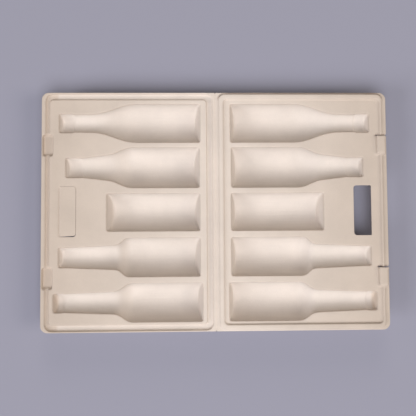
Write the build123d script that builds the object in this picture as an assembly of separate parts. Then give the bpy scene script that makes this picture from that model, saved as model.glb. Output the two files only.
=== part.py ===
from build123d import *
import math
import os

# Open clamshell case of moulded pulp for five bottles. The two half trays lie
# side by side, open side up. X runs across the fold, Y along it, Z is up.
# The origin is on the fold line, on the plane that the trays stand on.
# Each half is modelled as the +X half with its panel top at zero height,
# and the left one is then mirrored.

# Case sizes, in millimetres
half_width = 278.0
case_depth = 383.0
outline_radius = 12.0
wall = 2.0
stand_height = 37.0
fold_strip = 4.4
fold_notch = 1.8
closed_gap = 0.6

# Rim groove of the left half and the rim ridge of the right half that seats in it
end_flange = 2.2
side_flange = 6.6
groove_width = 10.0
side_groove_width = 6.8
groove_depth = 4.4
groove_outer_radius = 11.0
groove_inner_radius = 5.0
rim_draft = 15.0
seat_clearance = 0.5
ridge_tip_clearance = 1.0
rim_edge_radius = 1.0

# Snap latches on the outer edge: pockets on the left, tabs on the right. A slit
# frees each tab's end.
latch_offset = 106.0
latch_length = 35.0
latch_width = 16.4
latch_corner = 3.0
latch_margin = 2.2
latch_wall = 1.4
latch_depth = 7.0
latch_draft = 5.0
latch_ramp = 28.0
latch_clearance = 0.5
latch_tip_clearance = 1.5
latch_edge_radius = 1.2
tab_slit = 3.2

# Hand hole near the outer edge. In the left half its flap is left in, creased
# a little nearer the fold than the outer side of the open hole.
hand_hole_length = 80.0
hand_hole_width = 28.2
hand_hole_edge = 26.9
hand_hole_corner = 4.0
flap_crease_inset = 2.4
flap_slit = 0.4
flap_foot_slit = 0.9
flap_axis_lift = 0.05

# Bottle cavities, all on one pitch along the fold
row_pitch = 71.6
rows_centre = -1.4
end_draft = 15.0
mouth_radius = 1.2
end_radius = 3.0
foot_width = 22.0
foot_inset = 6.0
foot_draft = 20.0
run_out = 20.0
cut_past = 1.0


class Bottle:
    """One bottle cavity: stations are distances from the fold line, the rest are radii."""

    def __init__(self, row, base, top, body, shoulder=None, neck_foot=None, neck=None,
                 neck_top=None, cap=None, cap_length=None):
        self.row = row
        self.base = base
        self.top = top
        self.body = body
        self.shoulder = shoulder
        self.neck_foot = neck_foot
        self.neck = neck
        self.neck_top = neck_top
        self.cap = cap
        self.cap_length = cap_length


bottles = [
    Bottle(row=2, base=23.8, top=250.2, body=31.2, shoulder=124.0, neck_foot=198.0,
           neck=14.8, neck_top=14.2, cap=15.4, cap_length=23.4),
    Bottle(row=1, base=25.0, top=239.4, body=32.5, shoulder=131.0, neck_foot=172.0,
           neck=20.5, neck_top=15.4, cap=16.0, cap_length=25.0),
    Bottle(row=0, base=24.5, top=174.4, body=30.2),
    Bottle(row=-1, base=24.3, top=250.4, body=30.9, shoulder=137.0, neck_foot=161.0,
           neck=19.2, neck_top=15.6, cap=16.0, cap_length=9.0),
    Bottle(row=-2, base=20.6, top=258.5, body=30.6, shoulder=131.0, neck_foot=163.0,
           neck=17.6, neck_top=14.4, cap=15.2, cap_length=16.0),
]

# Worked-out sizes
ridge_height = groove_depth + closed_gap - ridge_tip_clearance
tab_height = latch_depth + closed_gap - latch_tip_clearance
flange_edge = half_width - side_flange
hole_near = half_width - hand_hole_edge - hand_hole_width
hole_far = half_width - hand_hole_edge
crease = hole_far - flap_crease_inset


def slope(degrees):
    """Run for each unit of rise of a wall that leans by this angle."""
    return math.tan(math.radians(degrees))


def skin(degrees):
    """Wall measured level, across a wall that leans by this angle."""
    return wall / math.cos(math.radians(degrees))


def plan_rectangle(near, far, length, radius, height=0.0, centre=0.0):
    """Rounded rectangle in plan, between two distances from the fold."""
    rectangle = RectangleRounded(far - near, length, radius)
    return Pos((near + far) / 2, centre, height) * rectangle


def rim_band(inset, low, high, edge_radius):
    """Ring round the half that narrows upwards, inset from the groove's mouth at zero height."""
    lean = slope(rim_draft)
    start = inset + low * lean
    tall = high - low
    outer = plan_rectangle(fold_strip + start, flange_edge - start,
                           case_depth - 2 * (end_flange + start), groove_outer_radius - start, low)
    island = groove_width - start
    side_island = side_groove_width - start
    inner = plan_rectangle(fold_strip + island, flange_edge - side_island,
                           case_depth - 2 * (end_flange + island), groove_inner_radius + start, low)
    band = extrude(outer, tall, taper=rim_draft) - extrude(inner, tall, taper=-rim_draft)
    return softened(band, edge_radius)


def latch_block(centre, inset, low, high, edge_radius):
    """Block at one latch, inset from the pocket's mouth, with a ramp at its -Y end."""
    start = inset + low * slope(latch_draft)
    far = half_width - latch_margin
    block = plan_rectangle(far - latch_width + start, far - start, latch_length - 2 * start,
                           latch_corner - start, low, centre)
    block = extrude(block, high - low, taper=latch_draft)
    ramp = inset / math.cos(math.radians(latch_ramp)) - latch_length / 2
    lean = slope(latch_ramp)
    back = latch_length
    side = Polyline((0, centre + ramp + low * lean, low), (0, centre + back, low),
                    (0, centre + back, high), (0, centre + ramp + high * lean, high), close=True)
    block = block & extrude(make_face(side), half_width, dir=(1, 0, 0))
    return softened(block, edge_radius)


def slit(centre):
    """Cutter for the open slit that takes a tab's +Y end off, out past the tray's edge."""
    near = half_width - latch_margin - latch_width
    far = half_width + cut_past
    low = -wall - cut_past
    high = tab_height + cut_past
    cutter = Box(far - near, tab_slit, high - low)
    return Pos((near + far) / 2, centre + (latch_length - tab_slit) / 2, (low + high) / 2) * cutter


def softened(form, edge_radius):
    """Round the edges of a form's top face, where that face shows."""
    if edge_radius == 0:
        return form
    return fillet(form.faces().sort_by(Axis.Z)[-1].edges(), edge_radius)


def downwards(solid):
    """The same form turned over, for what goes down from the panel."""
    return mirror(solid, about=Plane.XY)


def row_line(bottle):
    """Place along the fold of a bottle's centre line."""
    return rows_centre + bottle.row * row_pitch


def bottle_outline(bottle, growth):
    """Half section of a bottle cavity, grown by the wall for the outside of its pod."""
    start = bottle.base - run_out
    finish = bottle.top + run_out
    body = bottle.body + growth
    if bottle.neck is None:
        edges = [Line((start, 0, body), (finish, 0, body))]
        last = body
    else:
        fall = math.atan2(bottle.body - bottle.neck, bottle.neck_foot - bottle.shoulder)
        shift = growth * math.tan(fall / 2)
        foot = bottle.neck_foot + shift
        cap_start = bottle.top - bottle.cap_length - growth / 2
        neck = bottle.neck + growth
        neck_top = bottle.neck_top + growth
        last = bottle.cap + growth
        neck_fall = (neck_top - neck) / (cap_start - foot)
        shoulder_point = (bottle.shoulder + shift, 0, body)
        foot_point = (foot, 0, neck)
        cap_point = (cap_start + (last - neck_top), 0, last)
        edges = [
            Line((start, 0, body), shoulder_point),
            Spline(shoulder_point, foot_point, tangents=[(1, 0, 0), (1, 0, neck_fall)]),
            Line(foot_point, (cap_start, 0, neck_top)),
            Line((cap_start, 0, neck_top), cap_point),
            Line(cap_point, (finish, 0, last)),
        ]
    edges += [Line((finish, 0, last), (finish, 0, 0)), Line((finish, 0, 0), (start, 0, 0)),
              Line((start, 0, 0), (start, 0, body))]
    return make_face(edges)


def end_wall_edges(pod):
    """Edges where the leaning end walls run into the round of the pod."""
    edges = []
    for wall_face in pod.faces().filter_by(GeomType.PLANE):
        if abs(wall_face.normal_at().Z) < math.cos(math.radians(end_draft)):
            edges += [edge for edge in wall_face.edges() if edge.center().Z < -wall]
    return edges


def bottle_pod(bottle, growth, deepest, highest):
    """Lower half of a bottle form between its two leaning end walls."""
    lean = slope(end_draft)
    level = growth / math.cos(math.radians(end_draft))
    near = bottle.base - level
    far = bottle.top + level
    ends = Polyline((near - highest * lean, 0, highest), (far + highest * lean, 0, highest),
                    (far - deepest * lean, 0, -deepest), (near + deepest * lean, 0, -deepest),
                    close=True)
    width = 2 * (bottle.body + growth + cut_past)
    slab = extrude(make_face(ends), width / 2, dir=(0, 1, 0), both=True)
    pod = revolve(bottle_outline(bottle, growth), Axis.X, 360) & slab
    if growth == 0:
        pod = fillet(end_wall_edges(pod), end_radius)
    return Pos(0, row_line(bottle), 0) * pod


def pod_foot(bottle):
    """Flat foot under a bottle body, down to the plane that the tray stands on."""
    near = bottle.base + stand_height * slope(end_draft) + foot_inset
    body_end = bottle.top - bottle.body if bottle.shoulder is None else bottle.shoulder
    far = body_end - foot_inset
    pad = plan_rectangle(near, far, foot_width, foot_inset, -stand_height, row_line(bottle))
    return extrude(pad, stand_height - bottle.body + wall, taper=-foot_draft)


def half_plate():
    """Flat panel of one half, with round outer corners and a notch at each end of the fold."""
    plate = Pos(half_width / 2, 0, -wall / 2) * Box(half_width, case_depth, wall)
    corners = plate.edges().filter_by(Axis.Z).group_by(Axis.X)[-1]
    plate = fillet(corners, outline_radius)
    notch_ends = plate.edges().filter_by(Axis.Z).group_by(Axis.X)[0]
    return chamfer(notch_ends, fold_notch)


def panel_block(near, far, low, high, corner):
    """Block through the panel, round at its two corners nearest the fold."""
    block = Pos((near + far) / 2, (low + high) / 2, -wall / 2) * Box(far - near, high - low, wall)
    corners = block.edges().filter_by(Axis.Z).group_by(Axis.X)[0]
    return fillet(corners, corner)


def hand_hole(far):
    """Cutter for the hand hole, out to the given distance from the fold."""
    half_length = hand_hole_length / 2
    return panel_block(hole_near, far, -half_length, half_length, hand_hole_corner)


def rounded_mouths(tray):
    """Soften the edges where the cavities open into the panel."""
    level = tray.faces().filter_by(Plane.XY).filter_by(lambda face: abs(face.center().Z) < wall / 2)
    panel = level.sort_by(SortBy.AREA)[-1]
    return fillet([edge for mouth in panel.inner_wires() for edge in mouth.edges()], mouth_radius)


def half_tray(additions, cuts):
    """One half: panel, pods and feet, with the rim parts given, and all cavities cut."""
    tray = half_plate()
    for bottle in bottles:
        tray += bottle_pod(bottle, wall, stand_height, -wall / 2)
        tray += pod_foot(bottle)
    for addition in additions:
        tray += addition
    for bottle in bottles:
        tray -= bottle_pod(bottle, 0.0, stand_height, cut_past)
    tray = rounded_mouths(tray)
    for cut in cuts:
        tray -= cut
    return tray


def left_tray():
    """Left half, with the groove, the two latch pockets and the hole behind its flap."""
    additions = [downwards(rim_band(-skin(rim_draft), wall / 2, groove_depth + wall, 0))]
    cuts = [downwards(rim_band(0.0, -cut_past, groove_depth, rim_edge_radius))]
    for centre in (-latch_offset, latch_offset):
        pocket_wall = latch_block(centre, -latch_wall, wall / 2, latch_depth + wall, 0)
        additions.append(downwards(pocket_wall))
        pocket = latch_block(centre, 0.0, -cut_past, latch_depth, latch_edge_radius)
        cuts.append(downwards(pocket))
    cuts.append(hand_hole(crease))
    return mirror(half_tray(additions, cuts), about=Plane.YZ)


def right_tray():
    """Right half, with the ridge, the two latch tabs and the open hand hole."""
    inset = seat_clearance
    additions = [rim_band(inset, -wall / 2, ridge_height, rim_edge_radius)]
    cuts = [rim_band(inset + skin(rim_draft), -wall - cut_past, ridge_height - wall, 0)]
    for centre in (-latch_offset, latch_offset):
        inset = latch_clearance
        additions.append(latch_block(centre, inset, -wall / 2, tab_height, latch_edge_radius))
        cuts.append(latch_block(centre, inset + skin(latch_draft), -wall - cut_past,
                                tab_height - wall, 0))
        cuts.append(slit(centre))
    cuts.append(hand_hole(hole_far))
    return half_tray(additions, cuts)


def handle_flap():
    """Flap of the left hand hole, cut free on three sides and held along its crease."""
    half_length = hand_hole_length / 2
    flap = panel_block(hole_near + flap_slit, crease, flap_foot_slit - half_length,
                       half_length - flap_slit, hand_hole_corner - flap_slit)
    return mirror(flap, about=Plane.YZ)


def save(name, solid):
    """Lift one piece onto the standing plane and write it as a node."""
    placed = Pos(0, 0, stand_height) * solid
    placed.label = name
    export_step(placed, f"parts/{name}.step")
    print(name, round(placed.volume), placed.bounding_box())


os.makedirs("parts", exist_ok=True)
save("left_tray", left_tray())
save("right_tray", right_tray())
save("handle_flap", handle_flap())
print("fold axis height", stand_height + closed_gap / 2)
print("flap axis", -crease, stand_height + flap_axis_lift)
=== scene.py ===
import bmesh
import bpy
import math
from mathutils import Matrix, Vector, noise


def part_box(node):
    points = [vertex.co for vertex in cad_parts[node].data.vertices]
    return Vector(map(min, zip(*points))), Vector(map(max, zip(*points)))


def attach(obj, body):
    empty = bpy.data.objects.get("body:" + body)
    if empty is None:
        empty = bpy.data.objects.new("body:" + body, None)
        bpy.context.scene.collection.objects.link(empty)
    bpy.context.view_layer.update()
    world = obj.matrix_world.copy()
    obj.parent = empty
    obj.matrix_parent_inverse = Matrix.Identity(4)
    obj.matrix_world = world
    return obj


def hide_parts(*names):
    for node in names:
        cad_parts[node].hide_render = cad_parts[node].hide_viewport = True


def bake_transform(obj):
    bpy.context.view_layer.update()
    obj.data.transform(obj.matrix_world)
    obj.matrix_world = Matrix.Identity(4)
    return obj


# Looks of an open clamshell case of moulded pulp. The two half trays and the
# handle flap are soft-edged meshes made from the fixed frame's own forms, and a
# thin web of pulp joins the halves along the fold. Metres, same frame as the part.

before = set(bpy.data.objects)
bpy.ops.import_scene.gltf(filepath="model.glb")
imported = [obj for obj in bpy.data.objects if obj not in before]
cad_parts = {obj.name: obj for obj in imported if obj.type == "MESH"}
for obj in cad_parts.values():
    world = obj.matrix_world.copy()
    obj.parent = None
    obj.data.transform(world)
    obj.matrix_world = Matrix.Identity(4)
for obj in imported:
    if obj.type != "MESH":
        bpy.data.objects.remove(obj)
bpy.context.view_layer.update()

left_low, left_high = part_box("left_tray")
flap_low, flap_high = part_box("handle_flap")
panel_top = left_high[2]
half_width = -left_low[0]
half_depth = left_high[1]
crease_x = flap_low[0]

# Sheet of pulp, and the waves that it takes as it dries
wall = 0.002
tray_voxel = 0.0009
tray_rounds = 7
smooth_share = 0.5
tray_triangles = 190000
sharp_angle = 50.0
wave_height = 0.00022
wave_length = 0.055
ripple_height = 0.00007
ripple_length = 0.011
wave_fade = 0.02

# Strips along the outer side and the fold, whose grooves, ridges and latches are softer
strip_rounds = 24
outer_strip = 0.0240
outer_margin = 0.0004
fold_strip = 0.0150
fold_margin = 0.0031
strip_fade = 0.0020
end_margin = 0.0120

# Die-cut hand hole and tab slits, whose edges stay crisper than the moulded ones
hole_middle = 0.2370
hole_half_width = 0.0141
hole_half_length = 0.0400
slit_near = 0.2594
slit_middles = (0.1219, -0.0901)
slit_half = 0.0016
cut_reach = 0.0035
cut_softness = 0.25

# Lips of the sheet that lean under the tab slits
lip_reach = 0.0024
lip_lean = 0.0036
lip_sink = 0.0030

# Handle flap: how far its edges come out to close the slit, and the V along its crease
flap_voxel = 0.0005
flap_rounds = 2
flap_swell = 0.0004
crease_overlap = 0.0003
foot_closed = 0.0008
foot_open = 0.0005
bend_depth = 0.0012
bend_half = 0.0026
bend_fade = 0.003

# Ridge of the right half, and the tight crevice along its foot at the far rim
ridge_near = 0.0049
ridge_far = 0.2709
ridge_end = 0.1888
ridge_corner = 0.0105
ridge_rise = 0.0040
side_ridge = 0.0064
crevice_shift = 0.0006
crevice_depth = 0.0038
crevice_half = 0.0014
crevice_thinning = 0.0010
crevice_reach = 0.0024
crevice_steep = 2.5

# Fold web between the halves, with its crease and the notch at each of its ends
web_half = 0.0030
web_columns = 24
web_rows = 150
web_notch = 0.0018
web_short = 0.0004
web_sharp_angle = 40.0
crease_half = 0.0011
crease_depth = 0.00045

# Camera, found from the photograph's perspective; its turn is in degrees
camera_place = (-0.0401, -0.0461, 0.995)
camera_turn = (3.04, -1.634, -0.379)
frame_pixels = 416
focal_pixels = 600
sensor_width = 36.0

# Round lamps: directions as turn from +X and tilt from straight above, in degrees
lamp_distance = 14.0
key_turn = 272.0
key_tilt = 28.0
key_size = 13.0
key_power = 1600.0
side_turn = 205.0
side_tilt = 62.0
side_size = 7.0
side_power = 850.0
fill_turn = 350.0
fill_tilt = 52.0
fill_size = 7.0
fill_power = 560.0
back_turn = 90.0
back_tilt = 64.0
back_size = 5.6
back_power = 300.0
cool_light = (0.99, 1.0, 1.03)
warm_light = (1.0, 0.93, 0.84)
sky_strength = 0.02
sky_colour = (0.97, 0.98, 1.0)

# Floor and backdrop
stage_colour = (0.335, 0.328, 0.398)
stage_roughness = 0.9
stage_gloss = 0.1
floor_size = 8.0

# Pulp colours: the panel greys a little from the fold outwards; the hollows are paler, which is painted
# light
fold_colour = (0.745, 0.645, 0.565)
outer_colour = (0.600, 0.500, 0.420)
grey_start = 0.02
# Paler colour in the hollows: painted light that brightens them
hollow_painted_light = (0.722, 0.643, 0.582)
hollow_start = 0.0004
hollow_full = 0.0065
hollow_reach = 0.2500

# Pulp surface: wide clouds of tone, fine fibres and a felted mottle
cloud_size = 0.050
cloud_detail = 3
cloud_roughness = 0.55
cloud_range = (0.3, 0.7)
cloud_dark = 0.95
cloud_light = 1.04
fibre_size = 0.0012
fibre_detail = 3
fibre_roughness = 0.65
fibre_dark = 0.96
fibre_light = 1.05
fibre_share = 0.5
mottle_size = 0.006
mottle_detail = 4
mottle_roughness = 0.6
grain_range = (0.2, 0.8)
bump_strength = 0.35
bump_height = 0.0002
pulp_roughness = 0.95
pulp_gloss = 0.15


def clamped(share):
    """The share, held between none and all."""
    return min(1.0, max(0.0, share))


def new_object(name, mesh):
    """Object of this mesh, linked into the scene."""
    thing = bpy.data.objects.new(name, mesh)
    bpy.context.scene.collection.objects.link(thing)
    return thing


def built(name, form):
    """Object of a finished bmesh form."""
    mesh = bpy.data.meshes.new(name)
    form.to_mesh(mesh)
    form.free()
    return new_object(name, mesh)


def bare_copy(node, name):
    """Copy of a frame node's form without its materials."""
    thing = new_object(name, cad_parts[node].data.copy())
    thing.data.materials.clear()
    return thing


def applied(thing):
    """Replace the object's mesh with the result of its modifiers."""
    bpy.context.view_layer.update()
    graph = bpy.context.evaluated_depsgraph_get()
    mesh = bpy.data.meshes.new_from_object(thing.evaluated_get(graph))
    thing.modifiers.clear()
    thing.data = mesh


def add_skin(thing, voxel):
    """Modifier that gives the form one even skin of small faces."""
    skin = thing.modifiers.new("skin", "REMESH")
    skin.mode = "VOXEL"
    skin.voxel_size = voxel


def add_softness(thing, rounds, group=""):
    """Modifier that rounds the edges, by each point's weight in the group where one is named."""
    soft = thing.modifiers.new("soft", "SMOOTH")
    soft.factor = smooth_share
    soft.iterations = rounds
    soft.vertex_group = group


def cut_nearness(point, side):
    """Distance from a tray's die-cut edges: its hand hole, and on the right the tab slits."""
    across = abs(abs(point.x) - hole_middle) - hole_half_width
    along = abs(point.y) - hole_half_length
    nearest = abs(max(across, along))
    if side > 0 and abs(point.x) > slit_near:
        for middle in slit_middles:
            nearest = min(nearest, abs(abs(point.y - middle) - slit_half))
    return nearest


def strip_share(point, side):
    """How much softer a tray is at a point: fully in the strips beside its outer side and the fold."""
    across = abs(point.x)
    outer = min(across - (half_width - outer_strip), half_width - outer_margin - across)
    inner = min(across - fold_margin, fold_strip - across)
    along = half_depth - end_margin - abs(point.y)
    share = clamped(min(max(outer, inner), along) / strip_fade)
    return share * clamped(cut_nearness(point, side) / cut_reach)


def lip_share(point):
    """How far a point of the right tray follows the lip under the far edge of a tab's slit."""
    if point.x < slit_near:
        return 0.0
    on_ridge = ridge_far - side_ridge < point.x < ridge_far
    top = panel_top + ridge_rise if on_ridge else panel_top
    below = clamped((top - point.z) / wall)
    for middle in slit_middles:
        off = point.y - middle - slit_half
        if -slit_half < off < lip_reach:
            return below * (1 - max(0.0, off) / lip_reach)
    return 0.0


def press_lips(thing):
    """Lean the sheet's underside under the tab slits, so that they show dark pulp."""
    for point in thing.data.vertices:
        share = lip_share(point.co)
        point.co.y -= lip_lean * share
        point.co.z -= lip_sink * share


def press_crevice(thing):
    """Press a narrow crevice along the ridge's outer foot at the +Y rim, fading round its corners."""
    for point in thing.data.vertices:
        inner_x = min(max(point.co.x, ridge_near + ridge_corner), ridge_far - ridge_corner)
        inner_y = min(point.co.y, ridge_end - ridge_corner)
        away = Vector((point.co.x - inner_x, point.co.y - inner_y, 0))
        off = abs(away.length - ridge_corner - crevice_shift)
        if off > crevice_half or point.co.z < panel_top - crevice_reach:
            continue
        facing = max(0.0, away.y) / away.length
        upper = point.co.z > panel_top - wall / 2
        depth = crevice_depth if upper else crevice_depth - crevice_thinning
        point.co.z -= depth * facing * clamped(crevice_steep * (1 - off / crevice_half))


def press_bend(thing):
    """Press a shallow V along the flap's crease, in the flap and in the tray beside it."""
    for point in thing.data.vertices:
        off = abs(point.co.x - crease_x)
        if off < bend_half:
            share = clamped((hole_half_length - abs(point.co.y)) / bend_fade)
            point.co.z -= bend_depth * share * (1 - off / bend_half)


def soften(thing, side):
    """Round a tray's edges, less at the die cuts, and once more in the softer strips."""
    group = thing.vertex_groups.new(name="soft")
    crisp = [point.index for point in thing.data.vertices if cut_nearness(point.co, side) < cut_reach]
    group.add(range(len(thing.data.vertices)), 1.0, "REPLACE")
    group.add(crisp, cut_softness, "REPLACE")
    add_softness(thing, tray_rounds, group.name)
    applied(thing)
    group = thing.vertex_groups.new(name="strips")
    for point in thing.data.vertices:
        share = strip_share(point.co, side)
        if share > 0:
            group.add([point.index], share, "REPLACE")
    add_softness(thing, strip_rounds, group.name)
    applied(thing)


def lighten(thing):
    """Bring a tray's mesh down to at most tray_triangles triangles."""
    count = sum(len(face.vertices) - 2 for face in thing.data.polygons)
    lighter = thing.modifiers.new("lighter", "DECIMATE")
    lighter.ratio = min(1.0, tray_triangles / count)
    applied(thing)


def cut_off(thing, place, side):
    """Cut the mesh at a plane across X and close the cut; side tells which part goes."""
    cut = bmesh.new()
    cut.from_mesh(thing.data)
    made = bmesh.ops.bisect_plane(cut, geom=cut.verts[:] + cut.edges[:] + cut.faces[:],
                                  plane_co=(place, 0, 0), plane_no=(side, 0, 0), clear_outer=True)
    rim = [part for part in made["geom_cut"] if isinstance(part, bmesh.types.BMEdge)]
    bmesh.ops.holes_fill(cut, edges=rim, sides=0)
    cut.to_mesh(thing.data)
    cut.free()


def uneven(thing):
    """Slight waves and ripples that a drying sheet of pulp takes, none at the fold."""
    for point in thing.data.vertices:
        wave = noise.noise(point.co / wave_length) * wave_height
        ripple = noise.noise(point.co / ripple_length) * ripple_height
        share = clamped(abs(point.co.x) / wave_fade)
        point.co.z = max(0.0, point.co.z + (wave + ripple) * share)


def shade_soft(thing, angle=sharp_angle):
    """Smooth shading that keeps cut edges sharp."""
    thing.data.shade_smooth()
    thing.data.set_sharp_from_angle(angle=math.radians(angle))


def link(tree, start, output, end, entry):
    """Join one node's output to another node's entry."""
    tree.links.new(start.outputs[output], end.inputs[entry])


def noise_value(tree, place, size, detail, roughness):
    """Noise whose features are about the given size in metres."""
    node = tree.nodes.new("ShaderNodeTexNoise")
    node.inputs["Scale"].default_value = 1 / size
    node.inputs["Detail"].default_value = detail
    node.inputs["Roughness"].default_value = roughness
    link(tree, place, "Object", node, "Vector")
    return node.outputs["Fac"]


def stretch(tree, source, low, high, to_low, to_high):
    """Map a value range onto another one, held at the ends."""
    node = tree.nodes.new("ShaderNodeMapRange")
    node.inputs["From Min"].default_value = low
    node.inputs["From Max"].default_value = high
    node.inputs["To Min"].default_value = to_low
    node.inputs["To Max"].default_value = to_high
    tree.links.new(source, node.inputs["Value"])
    return node.outputs["Result"]


def combined(tree, operation, first, second):
    """Sum or product of two values."""
    node = tree.nodes.new("ShaderNodeMath")
    node.operation = operation
    tree.links.new(first, node.inputs[0])
    tree.links.new(second, node.inputs[1])
    return node.outputs[0]


def colour_mix(tree, factor, first, second):
    """Mix of two colours by a value; each colour is a fixed one or another node's."""
    node = tree.nodes.new("ShaderNodeMix")
    node.data_type = "RGBA"
    tree.links.new(factor, node.inputs["Factor"])
    for socket, colour in ((node.inputs[6], first), (node.inputs[7], second)):
        if isinstance(colour, tuple):
            socket.default_value = (*colour, 1)
        else:
            tree.links.new(colour, socket)
    return node.outputs[2]


def tinted(tree, colour, amount):
    """A colour made lighter or darker by a value."""
    node = tree.nodes.new("ShaderNodeVectorMath")
    node.operation = "SCALE"
    tree.links.new(colour, node.inputs[0])
    tree.links.new(amount, node.inputs["Scale"])
    return node.outputs[0]


def pulp_tone(tree, place):
    """Colour by place: greyer towards the outer sides, and paler in the hollows but not at the latches,
    which is painted light.
    """
    parts = tree.nodes.new("ShaderNodeSeparateXYZ")
    link(tree, place, "Object", parts, "Vector")
    across = tree.nodes.new("ShaderNodeMath")
    across.operation = "ABSOLUTE"
    link(tree, parts, "X", across, 0)
    outward = stretch(tree, across.outputs[0], grey_start, half_width, 0.0, 1.0)
    deep = stretch(tree, parts.outputs["Z"], panel_top - hollow_full, panel_top - hollow_start, 1.0, 0.0)
    inward = stretch(tree, across.outputs[0], hollow_reach, half_width - outer_strip, 1.0, 0.0)
    # Painted light: the hollows below the panel are made paler, but not the latch pockets at the outer
    # sides
    hollow = combined(tree, "MULTIPLY", deep, inward)
    base = colour_mix(tree, outward, fold_colour, outer_colour)
    return colour_mix(tree, hollow, base, hollow_painted_light)


def pulp_material():
    """Matt pale pulp: soft clouds of tone, fine fibres and a slightly felted surface."""
    material = bpy.data.materials.new("pulp")
    material.use_nodes = True
    tree = material.node_tree
    shader = tree.nodes["Principled BSDF"]
    place = tree.nodes.new("ShaderNodeTexCoord")
    clouds = noise_value(tree, place, cloud_size, cloud_detail, cloud_roughness)
    fibre = noise_value(tree, place, fibre_size, fibre_detail, fibre_roughness)
    mottle = noise_value(tree, place, mottle_size, mottle_detail, mottle_roughness)
    base = pulp_tone(tree, place)
    base = tinted(tree, base, stretch(tree, clouds, *cloud_range, cloud_dark, cloud_light))
    base = tinted(tree, base, stretch(tree, fibre, *grain_range, fibre_dark, fibre_light))
    tree.links.new(base, shader.inputs["Base Color"])
    shader.inputs["Roughness"].default_value = pulp_roughness
    shader.inputs["Specular IOR Level"].default_value = pulp_gloss
    fibre_height = stretch(tree, fibre, *grain_range, 0.0, fibre_share)
    mottle_height = stretch(tree, mottle, *grain_range, 0.0, 1.0)
    bump = tree.nodes.new("ShaderNodeBump")
    bump.inputs["Strength"].default_value = bump_strength
    bump.inputs["Distance"].default_value = bump_height
    tree.links.new(combined(tree, "ADD", fibre_height, mottle_height), bump.inputs["Height"])
    link(tree, bump, "Normal", shader, "Normal")
    return material


def floor_material():
    """Even matt material of the floor."""
    material = bpy.data.materials.new("floor")
    material.use_nodes = True
    shader = material.node_tree.nodes["Principled BSDF"]
    shader.inputs["Base Color"].default_value = (*stage_colour, 1)
    shader.inputs["Roughness"].default_value = stage_roughness
    shader.inputs["Specular IOR Level"].default_value = stage_gloss
    return material


def dress(thing, material):
    """Give a piece its material as a named slot."""
    thing.data.materials.clear()
    thing.data.materials.append(material)


def tray(node, name, body, side, material):
    """One half of the moulding as a soft mesh, up to the edge of the fold web."""
    thing = bare_copy(node, name)
    add_skin(thing, tray_voxel)
    applied(thing)
    soften(thing, side)
    if side > 0:
        press_crevice(thing)
        press_lips(thing)
    else:
        press_bend(thing)
    lighten(thing)
    cut_off(thing, side * web_half, -side)
    uneven(thing)
    shade_soft(thing)
    dress(thing, material)
    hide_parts(node)
    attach(thing, body)


def flap(material):
    """Handle flap: its die-cut edges are slightly rounded and close the slit but at its foot."""
    thing = bare_copy("handle_flap", "grip_flap")
    middle = (flap_low + flap_high) / 2
    width = flap_high.x - flap_low.x
    for point in thing.data.vertices:
        share = (point.co.x - flap_low.x) / width
        point.co.x += flap_swell if point.co.x > middle.x else -crease_overlap
        if point.co.y > middle.y:
            point.co.y += flap_swell
        else:
            point.co.y += foot_open * share - foot_closed * (1 - share)
    add_skin(thing, flap_voxel)
    add_softness(thing, flap_rounds)
    applied(thing)
    press_bend(thing)
    shade_soft(thing)
    dress(thing, material)
    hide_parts("handle_flap")
    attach(thing, "flap")


def web_top(across):
    """Height of the web's upper face: level, with a fine pressed crease at the fold."""
    return panel_top - crease_depth * max(0.0, 1 - abs(across) / crease_half)


def web_ring(form, row):
    """Closed ring of points round the web at one place along the fold, shorter in the end notches."""
    along = 2 * row / web_rows - 1
    columns = range(web_columns + 1)
    ring = []
    for upper in (True, False):
        for column in columns if upper else reversed(columns):
            across = web_half * (2 * column / web_columns - 1)
            reach = half_depth - web_short - max(0.0, web_notch - abs(across))
            height = web_top(across) if upper else panel_top - wall
            ring.append(form.verts.new((across, along * reach, height)))
    return ring


def fold_web(material):
    """Thin strip of pulp along the fold."""
    form = bmesh.new()
    rings = [web_ring(form, row) for row in range(web_rows + 1)]
    count = len(rings[0])
    for first, second in zip(rings, rings[1:]):
        for index in range(count):
            following = (index + 1) % count
            form.faces.new((first[index], first[following], second[following], second[index]))
    form.faces.new(rings[0][::-1])
    form.faces.new(rings[-1])
    bmesh.ops.recalc_face_normals(form, faces=form.faces)
    thing = built("fold_web", form)
    shade_soft(thing, web_sharp_angle)
    dress(thing, material)
    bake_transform(thing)


def stage_floor():
    """Wide plain floor under the case."""
    half = floor_size / 2
    form = bmesh.new()
    corners = ((-half, -half), (half, -half), (half, half), (-half, half))
    form.faces.new([form.verts.new((x, y, 0)) for x, y in corners])
    thing = built("floor", form)
    thing.data.materials.append(floor_material())


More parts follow.
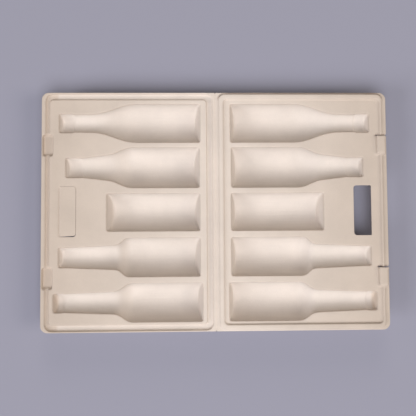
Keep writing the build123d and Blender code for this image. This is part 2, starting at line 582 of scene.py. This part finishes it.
def lamp(name, turn, tilt, size, power, colour):
    """Large soft round lamp, aimed at the case."""
    light = bpy.data.lights.new(name, "AREA")
    light.shape = "DISK"
    light.size = size
    light.energy = power
    light.color = colour
    turn = math.radians(turn)
    tilt = math.radians(tilt)
    direction = Vector((math.sin(tilt) * math.cos(turn), math.sin(tilt) * math.sin(turn), math.cos(tilt)))
    thing = bpy.data.objects.new(name, light)
    thing.location = direction * lamp_distance
    thing.rotation_euler = direction.to_track_quat("Z", "Y").to_euler()
    bpy.context.scene.collection.objects.link(thing)


def sky():
    """Even soft light from all round, with a plain backdrop where the camera sees it."""
    world = bpy.data.worlds.new("studio")
    world.use_nodes = True
    tree = world.node_tree
    light = tree.nodes["Background"]
    light.inputs["Color"].default_value = (*sky_colour, 1)
    light.inputs["Strength"].default_value = sky_strength
    seen = tree.nodes.new("ShaderNodeBackground")
    seen.inputs["Color"].default_value = (*stage_colour, 1)
    path = tree.nodes.new("ShaderNodeLightPath")
    mix = tree.nodes.new("ShaderNodeMixShader")
    link(tree, path, "Is Camera Ray", mix, "Fac")
    tree.links.new(light.outputs[0], mix.inputs[1])
    tree.links.new(seen.outputs[0], mix.inputs[2])
    tree.links.new(mix.outputs[0], tree.nodes["World Output"].inputs["Surface"])
    bpy.context.scene.world = world


def camera():
    """Camera above the case, turned as the photograph shows it."""
    eye = bpy.data.cameras.new("camera")
    eye.sensor_width = sensor_width
    eye.lens = focal_pixels / frame_pixels * sensor_width
    thing = bpy.data.objects.new("camera", eye)
    thing.location = camera_place
    thing.rotation_euler = [math.radians(angle) for angle in camera_turn]
    bpy.context.scene.collection.objects.link(thing)
    bpy.context.scene.camera = thing


bpy.context.scene.view_settings.view_transform = "Standard"
camera()
pulp = pulp_material()
tray("left_tray", "left_shell", "left_half", -1, pulp)
tray("right_tray", "right_shell", "right_half", 1, pulp)
flap(pulp)
fold_web(pulp)
stage_floor()
lamp("key", key_turn, key_tilt, key_size, key_power, cool_light)
lamp("side", side_turn, side_tilt, side_size, side_power, cool_light)
lamp("fill", fill_turn, fill_tilt, fill_size, fill_power, warm_light)
lamp("back", back_turn, back_tilt, back_size, back_power, warm_light)
sky()
